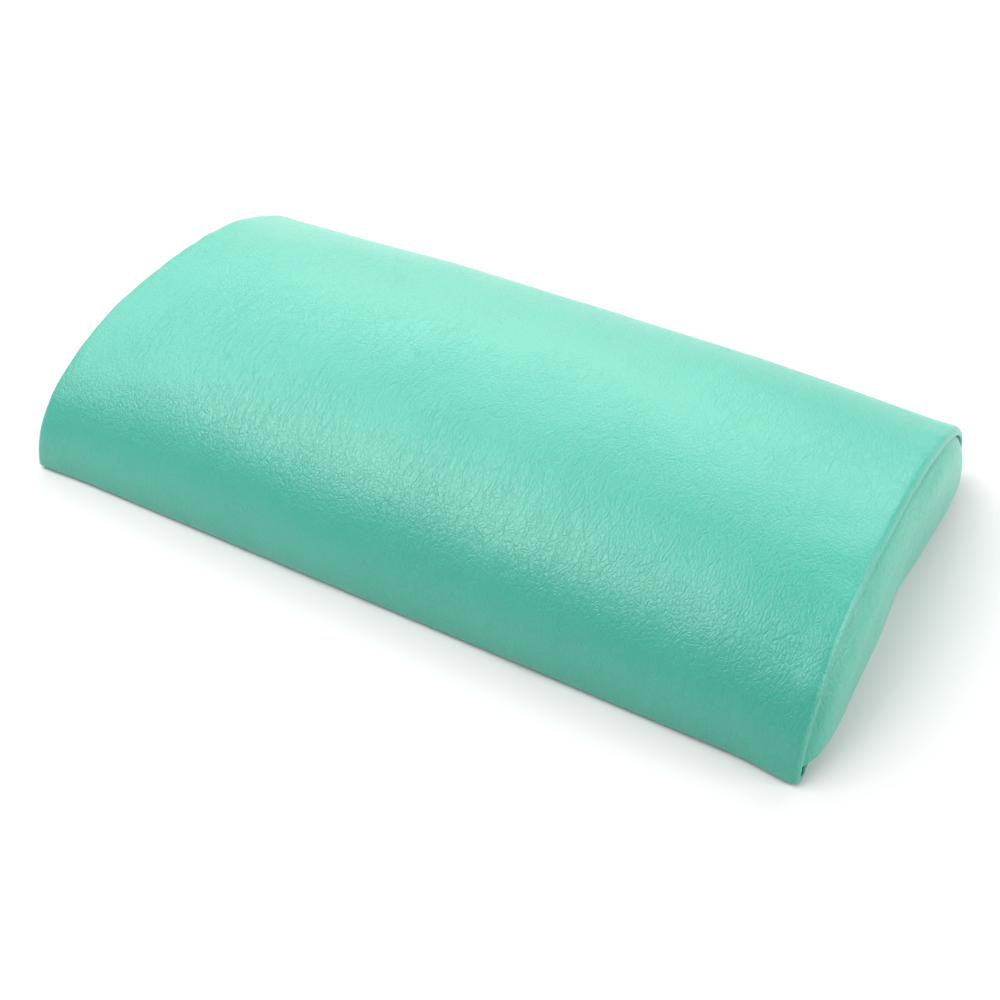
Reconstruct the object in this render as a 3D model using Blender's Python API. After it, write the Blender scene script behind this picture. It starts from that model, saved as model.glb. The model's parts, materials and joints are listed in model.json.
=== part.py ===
"""Half-round spa bolster pillow: a foam core in a wadding wrap, inside a sewn vinyl cover with a zip.

Metres, +Z up. X runs along the pillow, -Y is the front, +Y the back, and the flat base lies on Z = 0.
The origin is the centre of the base. The zip lies in the back wall, just above the base.
"""

import math

import bmesh
import bpy
from mathutils import Matrix, Vector

# Driving dimensions of the finished pillow
SEAM_LENGTH = 0.438  # between the two end seams
DEPTH = 0.246
HEIGHT = 0.081  # at mid length
END_BULGE = 0.0066  # how far each end panel stands out past its seam
CROWN_DROP = 0.011  # how much lower the arch is at the ends
CROWN_POWER = 2.6
END_LEAN = 0.008  # share by which the ends draw in at the crest, and again over the middle of the depth
ARCH_POWER = 2.2  # exponent of the superellipse that the arch follows
ARCH_FACETS = 22  # round the half turn, at the same angles in every layer

# Sheet goods
VINYL = 0.0012
WADDING = 0.006
TAPE = 0.0006
GAP = 0.0003  # between neighbouring pieces
THREAD_RADIUS = 0.00035

# Seams
EDGE_RADIUS = 0.0056  # round of the top panel over each end
SEAM_ROLL = 0.0012  # radius at which a panel turns in to its seam allowance
ALLOWANCE = 0.008
NOTCH_WIDTH = 0.0014  # what is left of an allowance where the corners are notched
NOTCH_FROM = 0.016  # distance from the end seam where the notch begins
NOTCH_TO = 0.012
FOLD_RADIUS = 0.00095  # of the base panel's fold at the front edge
FOOT_ROLL = 0.0015  # radius with which the top panel turns in at the front edge
CORNER_RADIUS = 0.004  # of the base panel at the back edge
CORNER_TOP = 0.0046

# Zip, in its own frame: x along the pillow, w up the back wall, n outwards
ZIP_HEIGHT = 0.020
ZIP_SLOT = 0.0052  # half the width between the two edges of the cover
ZIP_CLOSES_AT = 0.026  # distance from the end seam where the slot begins to close
ZIP_CLOSED_AT = 0.014
TAPE_DEPTH = 0.0034  # of the tape's middle under the cover's outer face
TAPE_INNER = 0.0013
TAPE_OUTER = 0.0092
TAPE_END = 0.007  # distance from the end seam
COIL_BOTTOM = TAPE / 2 + GAP
COIL_TOP = 0.0020
COIL_INNER = 0.00015
COIL_WIDTH = 0.0019
COIL_SPREAD = 0.00105  # how far each row moves out to pass the slider's divider
SLIDER_X = 0.182  # slider's middle when the zip is closed
SLIDER_LENGTH = 0.011
SLIDER_WIDTH = 0.0084
PLATE = 0.0008
PIVOT_HEIGHT = 0.0039  # of the pull tab's pin over the tape's middle
TAB_LENGTH = 0.022
TAB_WIDTH = 0.006
TAB_THICKNESS = 0.0008
STOP_LENGTH = 0.0025

HALF_LENGTH = SEAM_LENGTH / 2
HALF_DEPTH = DEPTH / 2
MID = VINYL / 2  # from a panel's outer face to its middle
MINT = (0.16, 0.52, 0.40)


def smooth_step(value):
    value = min(1.0, max(0.0, value))
    return value * value * (3 - 2 * value)


def crown_drop(x):
    return CROWN_DROP * min(1.0, abs(x) / HALF_LENGTH) ** CROWN_POWER


def arch_point(x, inset, angle):
    """(y, z) on the arch at station x, inset from the outer face.

    Angle 0 is the front foot and pi the back foot.
    """
    cosine, sine = math.cos(angle), max(0.0, math.sin(angle))
    rise = sine ** (2 / ARCH_POWER)
    reach = abs(cosine) ** (2 / ARCH_POWER) * (HALF_DEPTH - inset)
    share = max(0.0, rise - 0.1) / 0.9 if cosine > 0 else smooth_step((rise - 0.3) / 0.7)
    return -math.copysign(reach, cosine), rise * (HEIGHT - inset) - crown_drop(x) * share


def arch_angle(inset, height):
    """Angle of the front wall's point at that height. Low down both walls are straight along X."""
    return math.asin((height / (HEIGHT - inset)) ** (ARCH_POWER / 2))


def wall(inset, height):
    """y of the back wall at a height."""
    return arch_point(0, inset, math.pi - arch_angle(inset, height))[0]


def wall_frame(height):
    """Unit vectors (y, z) of the back wall at a height: up the wall, and outwards."""
    step = 0.0005
    up = Vector((wall(0, height + step) - wall(0, height - step), 2 * step)).normalized()
    return up, Vector((up.y, -up.x))


def arch_points(x, inset, start, end, front=0.0, back=0.0):
    """Points from the front wall at height start, over the arch, to the back wall at height end.

    The facets between begin above the height front, and end above the height back.
    """
    step = math.pi / ARCH_FACETS
    first = math.ceil(arch_angle(MID, max(start, front)) / step + 0.35)
    last = math.floor((math.pi - arch_angle(MID, max(end, back))) / step - 0.35)
    between = [step * i for i in range(first, last + 1)]
    angles = [arch_angle(inset, start), *between, math.pi - arch_angle(inset, end)]
    return [arch_point(x, inset, angle) for angle in angles]


def leaned(point):
    """A point of the sewn cover or its filling, with the ends drawn in as the stuffed cover pulls them."""
    x, y, z = point
    draw = END_LEAN * (z / HEIGHT + 1 - (y / HALF_DEPTH) ** 2)
    return Vector((x * (1 - draw), y, z))


def arc(centre, radius, start, end, count):
    """Points of an arc in degrees, both ends included."""
    turns = [math.radians(start + (end - start) * i / count) for i in range(count + 1)]
    return [(centre[0] + radius * math.cos(t), centre[1] + radius * math.sin(t)) for t in turns]


def half_slot(x):
    """Half the distance between the cover's edges: open over the zip, closed near the ends."""
    to_end = HALF_LENGTH - abs(x)
    share = smooth_step((to_end - ZIP_CLOSED_AT) / (ZIP_CLOSES_AT - ZIP_CLOSED_AT))
    return GAP + (ZIP_SLOT - GAP) * share


def allowance_at(x, inset):
    """Width of a lengthwise seam allowance, notched near the corners."""
    to_end = 0 if inset > MID * 1.01 else HALF_LENGTH - abs(x)
    share = (to_end - NOTCH_TO) / (NOTCH_FROM - NOTCH_TO)
    return NOTCH_WIDTH + (ALLOWANCE - NOTCH_WIDTH) * min(1.0, max(0.0, share))


def material(name, colour, roughness, metallic=0.0):
    made = bpy.data.materials.new(name)
    made.use_nodes = True
    shader = made.node_tree.nodes["Principled BSDF"]
    shader.inputs["Base Color"].default_value = (*colour, 1)
    shader.inputs["Roughness"].default_value = roughness
    shader.inputs["Metallic"].default_value = metallic
    return made


def link(name, mesh, finish, parent=None):
    made = bpy.data.objects.new(name, mesh)
    bpy.context.collection.objects.link(made)
    made.data.materials.append(finish)
    made.parent = parent
    return made


def grid_mesh(name, rows, closed_ring=False):
    """A sheet through rows of points. closed_ring joins each row's ends."""
    mesh = bpy.data.meshes.new(name)
    width = len(rows[0])
    points = [point for row in rows for point in row]
    faces = []
    for r in range(len(rows) - 1):
        for c in range(width if closed_ring else width - 1):
            right = (c + 1) % width
            faces.append((r * width + c, (r + 1) * width + c, (r + 1) * width + right, r * width + right))
    mesh.from_pydata(points, [], faces)
    mesh.update()
    return mesh


def finish_mesh(mesh, smooth_angle=40):
    """Faces pointing out, shaded smooth over gentle edges."""
    shape = bmesh.new()
    shape.from_mesh(mesh)
    bmesh.ops.recalc_face_normals(shape, faces=shape.faces)
    shape.to_mesh(mesh)
    shape.free()
    mesh.shade_smooth()
    mesh.set_sharp_from_angle(angle=math.radians(smooth_angle))


def quad_normals(rows, closed_ring):
    """Unit normal of each quad between neighbouring rows."""
    count = len(rows[0])
    normals = []
    for near, far in zip(rows, rows[1:]):
        line = []
        for c in range(count if closed_ring else count - 1):
            right = (c + 1) % count
            line.append((far[right] - near[c]).cross(far[c] - near[right]).normalized())
        normals.append(line)
    return normals


def offset_rows(rows, distance, closed_ring):
    """The rows moved along the sheet's normal, a little further at bends so the thickness stays even."""
    normals = quad_normals(rows, closed_ring)
    width = len(normals[0])
    moved = []
    for r, row in enumerate(rows):
        near = [n for n in (r - 1, r) if 0 <= n < len(normals)]
        line = []
        for c, point in enumerate(row):
            sides = [n % width if closed_ring else n for n in (c - 1, c)]
            sides = [n for n in sides if 0 <= n < width]
            around = [normals[i][j] for i in near for j in sides]
            normal = sum(around, Vector()).normalized()
            spread = max(0.85, min(normal.dot(one) for one in around))
            line.append(point + normal * (distance / spread))
        moved.append(line)
    return moved


def sheet(name, rows, thickness, finish, closed_ring=False, capped=False):
    """A sheet of that thickness around a middle surface. capped closes the last ring of both faces."""
    rows = [[leaned(point) for point in row] for row in rows]
    faces = [offset_rows(rows, side * thickness / 2, closed_ring) for side in (1, -1)]
    shape = bmesh.new()
    grids = [[[shape.verts.new(point) for point in row] for row in face] for face in faces]
    count, last = len(rows[0]), len(rows) - 1
    columns = count if closed_ring else count - 1
    for grid in grids:
        for r in range(last):
            for c in range(columns):
                right = (c + 1) % count
                shape.faces.new((grid[r][c], grid[r + 1][c], grid[r + 1][right], grid[r][right]))
        if capped:
            shape.faces.new(grid[last])
    over, under = grids
    for r in [0] if capped else [0, last]:
        for c in range(columns):
            right = (c + 1) % count
            shape.faces.new((over[r][c], over[r][right], under[r][right], under[r][c]))
    if not closed_ring:
        for c in (0, count - 1):
            for r in range(last):
                shape.faces.new((over[r][c], over[r + 1][c], under[r + 1][c], under[r][c]))
    mesh = bpy.data.meshes.new(name)
    shape.to_mesh(mesh)
    shape.free()
    finish_mesh(mesh)
    return link(name, mesh, finish)


def unfold_share(inset):
    """0 along the straight, rising to 1 where the round over an end meets its seam."""
    return smooth_step((inset - MID) / (0.6 * (EDGE_RADIUS - MID)))


def blend_points(folded, unfolded, share):
    return [tuple(a + (b - a) * share for a, b in zip(p, q)) for p, q in zip(folded, unfolded)]


def solid_mesh(name, rings):
    """A closed solid through rings of points, with a flat cap at each end."""
    mesh = grid_mesh(name, rings, closed_ring=True)
    shape = bmesh.new()
    shape.from_mesh(mesh)
    shape.verts.ensure_lookup_table()
    width, last = len(rings[0]), len(rings) - 1
    shape.faces.new([shape.verts[i] for i in range(width)])
    shape.faces.new([shape.verts[last * width + i] for i in reversed(range(width))])
    shape.to_mesh(mesh)
    shape.free()
    finish_mesh(mesh)
    return mesh


def extrusion(name, outline, low, high, frame):
    """An outline of (u, v) points raised from low to high. frame says where u, v and the height lie."""
    rings = [[frame(u, v, level) for u, v in outline] for level in (low, high)]
    return solid_mesh(name, rings)


def flat(u, v, level):
    return (u, v, level)


def sideways(u, v, level):
    """Outline in the x-n plane, raised across the zip."""
    return (u, level, v)


def block(name, low, high):
    outline = [(low[0], low[1]), (high[0], low[1]), (high[0], high[1]), (low[0], high[1])]
    return extrusion(name, outline, low[2], high[2], flat)


def united(name, meshes, finish, parent):
    """One solid from several overlapping ones."""
    body = link(name, meshes[0], finish, parent)
    for index, mesh in enumerate(meshes[1:]):
        tool = link(f"{name}_tool_{index}", mesh, finish, parent)
        tool.hide_render = True
        tool.display_type = "WIRE"
        join = body.modifiers.new(f"join_{index}", "BOOLEAN")
        join.operation = "UNION"
        join.solver = "EXACT"
        join.object = tool
    return body


def straight_thread(name, y, z, end, finish):
    """A sewing thread along X, from -end to end."""
    ring = arc((y, z), THREAD_RADIUS, 0, 360, 6)[:-1]
    return link(name, solid_mesh(name, [[(x, *point) for point in ring] for x in (-end, end)]), finish)


def round_thread(name, points, finish):
    """A sewing thread round a closed line of points."""
    curve = bpy.data.curves.new(name, "CURVE")
    curve.dimensions = "3D"
    curve.bevel_depth = THREAD_RADIUS
    curve.bevel_resolution = 1
    line = curve.splines.new("POLY")
    line.points.add(len(points) - 1)
    for point, place in zip(line.points, points):
        point.co = (*place, 1)
    line.use_cyclic_u = True
    return link(name, curve, finish)


def body_stations():
    """x of the stations along the straight of the cover, left to right."""
    zone = [HALF_LENGTH - d for d in (ZIP_CLOSES_AT, 0.020, NOTCH_FROM, NOTCH_TO, EDGE_RADIUS)]
    inner = [0.0, 0.08, 0.14]
    right = inner + zone
    return [-x for x in reversed(right[1:])] + right


def end_round(side):
    """(x, inset) of the round over one end, from the cover's straight to the seam."""
    radius = EDGE_RADIUS - MID
    turn = arc((0.0, 0.0), radius, 0, 90, 3)[1:]
    return [(side * (HALF_LENGTH - EDGE_RADIUS + out), EDGE_RADIUS - rise) for rise, out in turn]


def end_allowance(side):
    """(x, inset) of the top panel's turn into the end seam, and its allowance inside."""
    face = HALF_LENGTH - MID
    roll = arc((face - SEAM_ROLL, EDGE_RADIUS), SEAM_ROLL, 0, 90, 2)[1:]
    return [(side * x, inset) for x, inset in [*roll, (HALF_LENGTH - ALLOWANCE, EDGE_RADIUS + SEAM_ROLL)]]


def both_ends(beyond):
    """All stations (x, inset) of a lengthwise panel, with those beyond the straight at each end."""
    middle = [(x, MID) for x in body_stations()]
    return list(reversed(beyond(-1))) + middle + beyond(1)


def top_section(x, inset):
    """Middle line (y, z) of the top panel: front allowance, front wall, arch, and back wall to the zip."""
    floor = MID + 2 * FOLD_RADIUS + GAP + VINYL
    foot = floor + FOOT_ROLL
    front = arch_point(x, inset, arch_angle(inset, foot))[0]
    inner = front + allowance_at(x, inset) + FOOT_ROLL / 2
    folded = [(inner, floor), *arc((front + FOOT_ROLL, foot), FOOT_ROLL, 270, 180, 3)[:-1]]
    cut = [(front, floor + FOOT_ROLL * share) for share in (-0.1, 0.2, 0.45, 0.7)]
    edge = ZIP_HEIGHT + half_slot(x)
    over = arch_points(x, inset, foot, edge, back=ZIP_HEIGHT + ZIP_SLOT)
    above = edge + ZIP_SLOT
    over.insert(-1, (wall(inset, above), above))
    return [*blend_points(folded, cut, unfold_share(inset)), *over]


def base_section(x, inset):
    """Middle line (y, z) of the base panel: front allowance folded in, base, back corner and back wall."""
    front = MID - HALF_DEPTH
    start = (front + allowance_at(x, MID), MID + 2 * FOLD_RADIUS)
    fold = arc((front + FOLD_RADIUS, MID + FOLD_RADIUS), FOLD_RADIUS, 90, 270, 4)
    back = wall(inset, CORNER_TOP)
    flat_part = [(front + 0.03, MID), (0.0, MID), (back - 0.03, MID)]
    corner = arc((back - CORNER_RADIUS, CORNER_TOP), CORNER_RADIUS, 270, 360, 4)
    rise = [(wall(inset, z), z) for z in (0.0075, 0.0105, ZIP_HEIGHT - half_slot(x))]
    return [start, *fold, *flat_part, *corner, *rise]


def rows_of(stations, section):
    return [[(x, y, z) for y, z in section(x, inset)] for x, inset in stations]


def make_top_panel(finish):
    stations = both_ends(lambda side: end_round(side) + end_allowance(side))
    return sheet("cover_top_panel", rows_of(stations, top_section), VINYL, finish)


def make_base_panel(finish):
    return sheet("cover_base_panel", rows_of(both_ends(end_round), base_section), VINYL, finish)


def end_outline(inset, floor):
    """The D outline of an end panel, as (y, z): from the front foot over the arch, and back at the base."""
    over = arch_points(HALF_LENGTH, inset, floor + 0.001, floor + 0.001)
    left, right = over[0][0], over[-1][0]
    base = [(right + (left - right) * i / 6, floor) for i in range(7)]
    return over + base


def make_end_panel(name, side, finish):
    """A D-shaped sheet that stands out past its seam, with its allowance turned in all round."""
    allowance_inset = EDGE_RADIUS + SEAM_ROLL + VINYL + GAP
    floor = VINYL + GAP + MID
    face = HALF_LENGTH - MID
    roll = arc((face - SEAM_ROLL, 0), SEAM_ROLL, 90, 0, 2)
    rim = [(HALF_LENGTH - ALLOWANCE, 0.0), *[(x, SEAM_ROLL - y) for x, y in roll]]
    rows = [[(side * x, y, z) for y, z in end_outline(allowance_inset + d, floor + d)] for x, d in rim]
    edge = [Vector((y, z)) for y, z in end_outline(allowance_inset + SEAM_ROLL, floor + SEAM_ROLL)]
    middle = Vector((0.0, 0.42 * (HEIGHT - CROWN_DROP)))
    for share in (0.9, 0.7, 0.4):
        x = face + END_BULGE * (1 - share**2)
        ring = [middle + (point - middle) * share for point in edge]
        rows.append([(side * x, p.x, p.y) for p in ring])
    return sheet(name, rows, VINYL, finish, closed_ring=True, capped=True)


def make_wadding(finish):
    """Wadding over the arch, from the foot of the front wall to just above the zip."""
    end = HALF_LENGTH - ALLOWANCE - 0.0016
    inset = VINYL + 2.5 * GAP + WADDING / 2
    stations = [-end, -0.18, -0.12, -0.06, 0, 0.06, 0.12, 0.18, end]
    rows = [[(x, *p) for p in arch_points(x, inset, 0.0075, 0.038)] for x in stations]
    return sheet("wadding_wrap", rows, WADDING, finish)


def foam_ring(x, inset, floor, chamfer):
    """One section of the core: the arch, and a base whose front edge clears the seam allowance."""
    over = arch_points(x, inset, floor + 0.0055, floor + 0.0025, front=0.0175, back=0.0175)
    front, back = over[0][0], over[-1][0]
    base = [(back - 0.0015, floor), (0.0, floor), (front + chamfer, floor)]
    return [leaned((x, y, z)) for y, z in over + base]


def make_foam_core(finish):
    """Half-round foam, with each end stepped in to clear the end seams and domed to fill the end panel."""
    inset = VINYL + WADDING + 5 * GAP
    shoulder = HALF_LENGTH - ALLOWANCE - 0.0016
    inner = inset + 0.0034
    half = [(0.0, inset), (0.06, inset), (0.12, inset), (0.18, inset), (shoulder, inset)]
    right = [(x, d, VINYL + GAP, 0.0125) for x, d in half]
    right += [(shoulder + 0.0004, inner, 0.0042, 0.004)]
    right += [(HALF_LENGTH - 0.002, inner + 0.0005, 0.0042, 0.004)]
    right += [(HALF_LENGTH - 0.0008, inner + 0.014, 0.009, 0.004)]
    left = [(-x, d, floor, chamfer) for x, d, floor, chamfer in reversed(right[1:])]
    rings = [foam_ring(*station) for station in left + right]
    return link("foam_core", solid_mesh("foam_core", rings), finish)


def make_end_stitches(name, side, finish):
    """The lockstitch round an end seam, inside, on the end panel's allowance."""
    clear = MID + GAP + THREAD_RADIUS
    inset = EDGE_RADIUS + SEAM_ROLL + VINYL + GAP + clear
    floor = VINYL + GAP + MID + clear
    x = side * (HALF_LENGTH - ALLOWANCE / 2 - 0.001)
    ring = end_outline(inset, floor)
    return round_thread(name, [leaned((x, y, z)) for y, z in ring], finish)


def make_front_stitches(finish):
    """The lockstitch of the front edge, inside, on the top panel's allowance."""
    level = 2 * FOLD_RADIUS + 2 * VINYL + 2 * GAP + THREAD_RADIUS
    y = -HALF_DEPTH + VINYL + ALLOWANCE / 2
    end = HALF_LENGTH - NOTCH_FROM
    return straight_thread("stitch_front_edge", y, level, end, finish)


def make_zip_stitches(name, height, finish):
    """The topstitch that holds a tape, outside."""
    out = wall_frame(height)[1] * (GAP + THREAD_RADIUS)
    y, z = wall(0, height) + out.x, height + out.y
    end = HALF_LENGTH - ZIP_CLOSES_AT
    return straight_thread(name, y, z, end, finish)


def make_zip_frame():
    """An empty in the zip's frame: its x along the pillow, its y up the wall and its z inwards-out."""
    up, out = wall_frame(ZIP_HEIGHT)
    face = Vector((wall(0, ZIP_HEIGHT), ZIP_HEIGHT))
    origin = face - out * TAPE_DEPTH
    empty = bpy.data.objects.new("zip_frame", None)
    bpy.context.collection.objects.link(empty)
    axes = Matrix(((-1, 0, 0), (0, up.x, out.x), (0, up.y, out.y))).to_4x4()
    empty.matrix_world = Matrix.Translation((0, origin.x, origin.y)) @ axes
    return empty


def make_tape(name, side, finish, parent):
    end = HALF_LENGTH - TAPE_END
    low, high = sorted((side * TAPE_INNER, side * TAPE_OUTER))
    mesh = block(name, (-end, low, -TAPE / 2), (end, high, TAPE / 2))
    return link(name, mesh, finish, parent)


def make_coil(name, side, finish, parent):
    """The outer shape of one coil row: closed along the zip, and spread round the slider's divider."""
    closed = -(SLIDER_X - 0.003)
    spread = -(SLIDER_X + 0.0022)
    end = -(SLIDER_X + 0.0060)
    tail = SLIDER_X + 0.0035
    apart = COIL_INNER + COIL_SPREAD
    inner = [(tail, COIL_INNER), (closed, COIL_INNER), (spread, apart), (end, apart)]
    outline = inner + [(x, w + COIL_WIDTH) for x, w in reversed(inner)]
    outline = [(x, side * w) for x, w in outline]
    return link(name, extrusion(name, outline, COIL_BOTTOM, COIL_TOP, flat), finish, parent)


def make_top_stop(name, side, finish, parent):
    """A clamp at the head of one coil row."""
    start = -(SLIDER_X + 0.0063)
    low, high = sorted((side * 0.0011, side * 0.0032))
    mesh = block(name, (start - STOP_LENGTH, low, COIL_BOTTOM), (start, high, COIL_TOP + 0.0002))
    return link(name, mesh, finish, parent)


def make_bottom_stop(finish, parent):
    start = SLIDER_X + 0.0038
    reach = COIL_INNER + COIL_WIDTH + 0.0005
    high = (start + STOP_LENGTH, reach, COIL_TOP + 0.0002)
    mesh = block("zip_bottom_stop", (start, -reach, COIL_BOTTOM), high)
    return link("zip_bottom_stop", mesh, finish, parent)


def slider_outline():
    """The slider's plate from above: wide at the divider, narrow where the closed coils leave."""
    wide, narrow = SLIDER_WIDTH / 2, SLIDER_WIDTH / 2 - 0.0007
    half = SLIDER_LENGTH / 2
    nose = [(-half, wide - 0.0012), (-half + 0.0012, wide), (-0.001, wide)]
    tail = [(0.002, narrow), (half - 0.001, narrow), (half, narrow - 0.001)]
    upper = nose + tail
    return upper + [(x, -w) for x, w in reversed(upper)]


def make_slider(finish, parent):
    """Two plates joined by a divider, rails beside the coils, and a bridge that holds the pull tab."""
    under = -(TAPE / 2 + GAP)
    over = COIL_TOP + GAP
    top = over + PLATE
    half = SLIDER_LENGTH / 2
    bite = 0.0002
    base = extrusion("zip_slider", slider_outline(), under - PLATE, under, flat)
    lid = extrusion("slider_lid", slider_outline(), over, top, flat)
    stem = (-half + bite, -0.0009, under - bite)
    divider = block("slider_divider", stem, (-0.0024, 0.0009, over + bite))
    rails = []
    for side in (-1, 1):
        low, high = sorted((side * 0.0034, side * (SLIDER_WIDTH / 2 - 0.0007)))
        far = (half - 0.0013, high, over + bite)
        rails.append(block("slider_rail", (-half + 0.0016, low, COIL_BOTTOM), far))
    bridge = extrusion("slider_bridge", bridge_outline(top - bite), -0.001, 0.001, sideways)
    return united("zip_slider", [base, divider, lid, *rails, bridge], finish, parent)


def bridge_outline(foot):
    """The bridge from the side: an arch with a chamfered crest, over a window for the pull tab's bar."""
    outer, inner = 0.0040, 0.0027
    window = PIVOT_HEIGHT + 0.0007
    crest = window + 0.0006
    chamfer = 0.0006
    side = [(outer, crest - chamfer), (outer, foot), (inner, foot), (inner, window)]
    right = [(outer - chamfer, crest), *side]
    left = [(-x, n) for x, n in reversed(right)]
    return [*right, *left]


def make_pull_tab(finish, parent):
    """A tab with a window at its head, whose end bar lies in the slider's bridge."""
    half = TAB_WIDTH / 2
    bar = TAB_THICKNESS / 2
    tip = [(TAB_LENGTH - 0.0015, half), (TAB_LENGTH, half - 0.0015)]
    outline = [(-bar, half), *tip]
    outline += [(x, -w) for x, w in reversed(outline)]
    plate = extrusion("zip_pull_tab", outline, -bar, bar, flat)
    body = link("zip_pull_tab", plate, finish, parent)
    hole = block("tab_window", (bar, -0.0015, -0.002), (0.0049, 0.0015, 0.002))
    cutter = link("tab_window", hole, finish, parent)
    eye = link("tab_eye", round_hole("tab_eye", 0.0014), finish, parent)
    for index, tool in enumerate((cutter, eye)):
        tool.hide_render = True
        tool.display_type = "WIRE"
        cut = body.modifiers.new(f"cut_{index}", "BOOLEAN")
        cut.operation = "DIFFERENCE"
        cut.solver = "EXACT"
        cut.object = tool
    return body


def round_hole(name, radius):
    """A cutter for the finger hole near the tab's free end."""
    centre = (TAB_LENGTH - 0.0038, 0.0)
    outline = arc(centre, radius, 0, 360, 20)[:-1]
    return extrusion(name, outline, -0.002, 0.002, flat)


def make_pull_tab_hinge(parent):
    """An empty on the pull tab's pin."""
    empty = bpy.data.objects.new("tab_pin", None)
    bpy.context.collection.objects.link(empty)
    empty.parent = parent
    empty.location = (-SLIDER_X, 0, PIVOT_HEIGHT)
    return empty


def make_slider_place(parent):
    empty = bpy.data.objects.new("slider_place", None)
    bpy.context.collection.objects.link(empty)
    empty.parent = parent
    empty.location = (-SLIDER_X, 0, 0)
    return empty


def main():
    for old in list(bpy.data.objects):
        bpy.data.objects.remove(old)
    vinyl = material("vinyl", MINT, 0.45)
    foam = material("foam", (0.90, 0.86, 0.70), 0.95)
    fleece = material("wadding", (0.93, 0.93, 0.92), 1.0)
    cloth = material("zip_tape", (0.20, 0.55, 0.44), 0.9)
    nylon = material("zip_coil", (0.22, 0.58, 0.47), 0.4)
    metal = material("zip_metal", (0.72, 0.72, 0.72), 0.3, 1.0)
    cotton = material("thread", (0.14, 0.48, 0.37), 0.8)

    make_top_panel(vinyl)
    make_base_panel(vinyl)
    make_end_panel("cover_end_panel_left", -1, vinyl)
    make_end_panel("cover_end_panel_right", 1, vinyl)
    make_wadding(fleece)
    make_foam_core(foam)
    make_end_stitches("stitch_end_left", -1, cotton)
    make_end_stitches("stitch_end_right", 1, cotton)
    make_front_stitches(cotton)
    make_zip_stitches("stitch_zip_upper", ZIP_HEIGHT + ZIP_SLOT + 0.0024, cotton)
    make_zip_stitches("stitch_zip_lower", ZIP_HEIGHT - ZIP_SLOT - 0.0024, cotton)

    zip_frame = make_zip_frame()
    for row, side in (("upper", 1), ("lower", -1)):
        make_tape(f"zip_tape_{row}", side, cloth, zip_frame)
        make_coil(f"zip_coil_{row}", side, nylon, zip_frame)
        make_top_stop(f"zip_top_stop_{row}", side, metal, zip_frame)
    make_bottom_stop(metal, zip_frame)
    make_slider(metal, make_slider_place(zip_frame))
    make_pull_tab(metal, make_pull_tab_hinge(zip_frame))


main()
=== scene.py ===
"""Looks for the half-round spa bolster pillow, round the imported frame: vinyl, sewn seams and a coil zip."""

import json
import math

import bmesh
import bpy
from mathutils import Matrix, Vector, noise


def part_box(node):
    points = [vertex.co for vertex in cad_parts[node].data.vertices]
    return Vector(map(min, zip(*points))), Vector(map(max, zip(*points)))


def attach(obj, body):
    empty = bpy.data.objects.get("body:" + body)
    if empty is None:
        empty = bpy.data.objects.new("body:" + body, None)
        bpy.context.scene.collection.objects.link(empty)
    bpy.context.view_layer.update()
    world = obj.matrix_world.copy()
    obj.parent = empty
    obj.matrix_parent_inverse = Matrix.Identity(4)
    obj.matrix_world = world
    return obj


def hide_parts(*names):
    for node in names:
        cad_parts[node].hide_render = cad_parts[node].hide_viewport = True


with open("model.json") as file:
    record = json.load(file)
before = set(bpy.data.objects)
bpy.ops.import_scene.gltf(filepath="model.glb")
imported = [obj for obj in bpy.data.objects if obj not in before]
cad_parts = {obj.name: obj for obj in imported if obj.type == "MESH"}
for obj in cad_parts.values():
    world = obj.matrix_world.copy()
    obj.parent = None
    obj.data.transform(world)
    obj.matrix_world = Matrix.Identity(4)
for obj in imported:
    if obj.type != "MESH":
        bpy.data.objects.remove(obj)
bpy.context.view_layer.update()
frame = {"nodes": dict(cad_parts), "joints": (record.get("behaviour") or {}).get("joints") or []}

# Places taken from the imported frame, in metres
TOP_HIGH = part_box("cover_top_panel")[1]
BASE_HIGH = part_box("cover_base_panel")[1]
END_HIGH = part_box("cover_end_panel_right")[1]
HALF_LENGTH = TOP_HIGH.x
HALF_DEPTH = BASE_HIGH.y
HEIGHT = TOP_HIGH.z

# Shape of the cover
PILLOW_MIDDLE = Vector((0, 0, 0.03))  # a point inside, to tell outward from inward
END_LEAN = 0.008  # share by which the ends draw in at the crest; half as much over the middle of the depth
LEFT_LEAN = 1.8  # the left end's lean at the crest, as a multiple of the right end's
BULGE = END_HIGH.x / (1 - 1.2 * END_LEAN) - HALF_LENGTH  # how far an end stands out past its seam
ARCH_POWER = 2.2  # exponent of the superellipse that the arch follows
CROWN_DROP = 0.011  # how much lower the arch is at the ends
CROWN_POWER = 2.6
EDGE_RADIUS = 0.0036  # round of the top panel over each end
SEAM_TURN = 0.0010  # radius with which a panel turns into its seam
SEAM_GAP = 0.0003  # between the two panels at the mouth of the seam
GROOVE = 0.0045  # depth of the end seam's groove
FOOT = 0.0034  # height at which the front wall turns under
FOOT_RADIUS = 0.0026
RIM_SET_BACK = 0.0030  # of the base panel's front edge behind the front wall
CORNER = 0.0046  # radius of the base panel's back edge
END_FLOOR = 0.0036  # height of the end seam over the base
ZIP_HEIGHT = 0.020
ZIP_SLOT = 0.0052  # half the width of the slot in the cover over the zip
SLOT_CLOSED = 0.0006  # the same where the cover is sewn shut
SLOT_END = 0.015  # from the cover's end to where the slot starts to open
SLOT_TAPER = 0.008
HEM = 0.0007
TOPSTITCH_OFFSET = 0.0024  # from the cover's edge at the zip
FOOT_TUCK = 0.0012  # how far the front wall draws back where it meets the base
TUCK_HEIGHT = 0.014
DOME_RINGS = 26
DOME_RISE = 0.0075  # distance from the rim over which an end's bulge rises
BACK_FULLNESS = 0.15  # how much more an end bulges towards its back tip
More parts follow.
